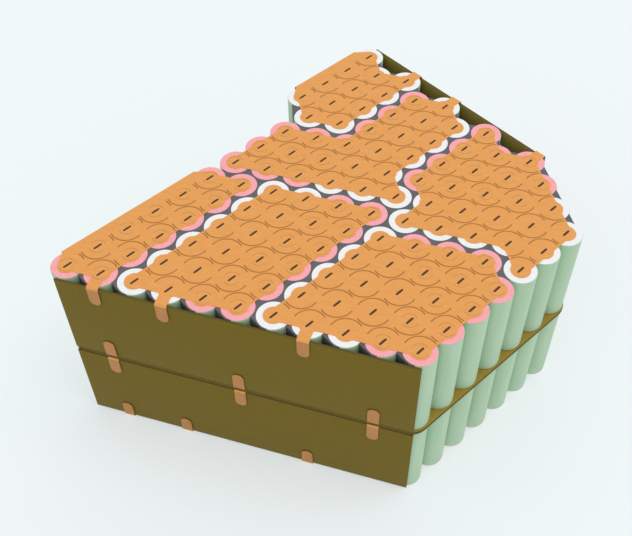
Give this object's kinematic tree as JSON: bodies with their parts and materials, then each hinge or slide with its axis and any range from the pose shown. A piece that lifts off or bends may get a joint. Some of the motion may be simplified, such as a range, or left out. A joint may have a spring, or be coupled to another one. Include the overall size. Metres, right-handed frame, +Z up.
{
  "type": "ev battery module",
  "caption": "Two-layer block of cylindrical battery cells on a mid-plate, with lobed welded collector sheets, folded sense tabs, terminal flaps and thin side walls.",
  "frame": {"origin": "on the base, under the axis of the front left cell", "axes": "+X along the straight front wall, +Y from the front wall towards the back, +Z up along the cells"},
  "size_m": [0.3135, 0.2787, 0.145],
  "materials": {
    "cell_sleeve": "satin shrink sleeve",
    "collector_sheet": "satin",
    "wall_sheet": "matt",
    "mid_plate": "matt",
    "potting": "matt",
    "positive_ring": "matt",
    "negative_ring": "matt"
  },
  "bodies": {
    "root": {"cells_lower_01": "cell_sleeve", "cells_upper_01": "cell_sleeve", "cells_lower_02": "cell_sleeve", "cells_upper_02": "cell_sleeve", "cells_lower_03": "cell_sleeve", "cells_upper_03": "cell_sleeve", "cells_lower_04": "cell_sleeve", "cells_upper_04": "cell_sleeve", "cells_lower_05": "cell_sleeve", "cells_upper_05": "cell_sleeve", "cells_lower_06": "cell_sleeve", "cells_upper_06": "cell_sleeve", "cells_lower_07": "cell_sleeve", "cells_upper_07": "cell_sleeve", "cells_lower_08": "cell_sleeve", "cells_upper_08": "cell_sleeve", "cells_lower_09": "cell_sleeve", "cells_upper_09": "cell_sleeve", "cells_lower_10": "cell_sleeve", "cells_upper_10": "cell_sleeve", "collector_top_1": "collector_sheet", "collector_base_1": "collector_sheet", "collector_top_2": "collector_sheet", "collector_base_2": "collector_sheet", "collector_top_3": "collector_sheet", "collector_base_3": "collector_sheet", "collector_top_4": "collector_sheet", "collector_base_4": "collector_sheet", "collector_top_5": "collector_sheet", "collector_base_5": "collector_sheet", "collector_top_6": "collector_sheet", "collector_base_6": "collector_sheet", "collector_inner_upper_1": "collector_sheet", "collector_inner_lower_1": "collector_sheet", "collector_inner_upper_2": "collector_sheet", "collector_inner_lower_2": "collector_sheet", "collector_inner_upper_3": "collector_sheet", "collector_inner_lower_3": "collector_sheet", "collector_inner_upper_4": "collector_sheet", "collector_inner_lower_4": "collector_sheet", "collector_inner_upper_5": "collector_sheet", "collector_inner_lower_5": "collector_sheet", "front_wall_lower": "wall_sheet", "front_wall_upper": "wall_sheet", "back_wall_lower": "wall_sheet", "back_wall_upper": "wall_sheet", "mid_plate": "mid_plate"}
  },
  "joints": []
}
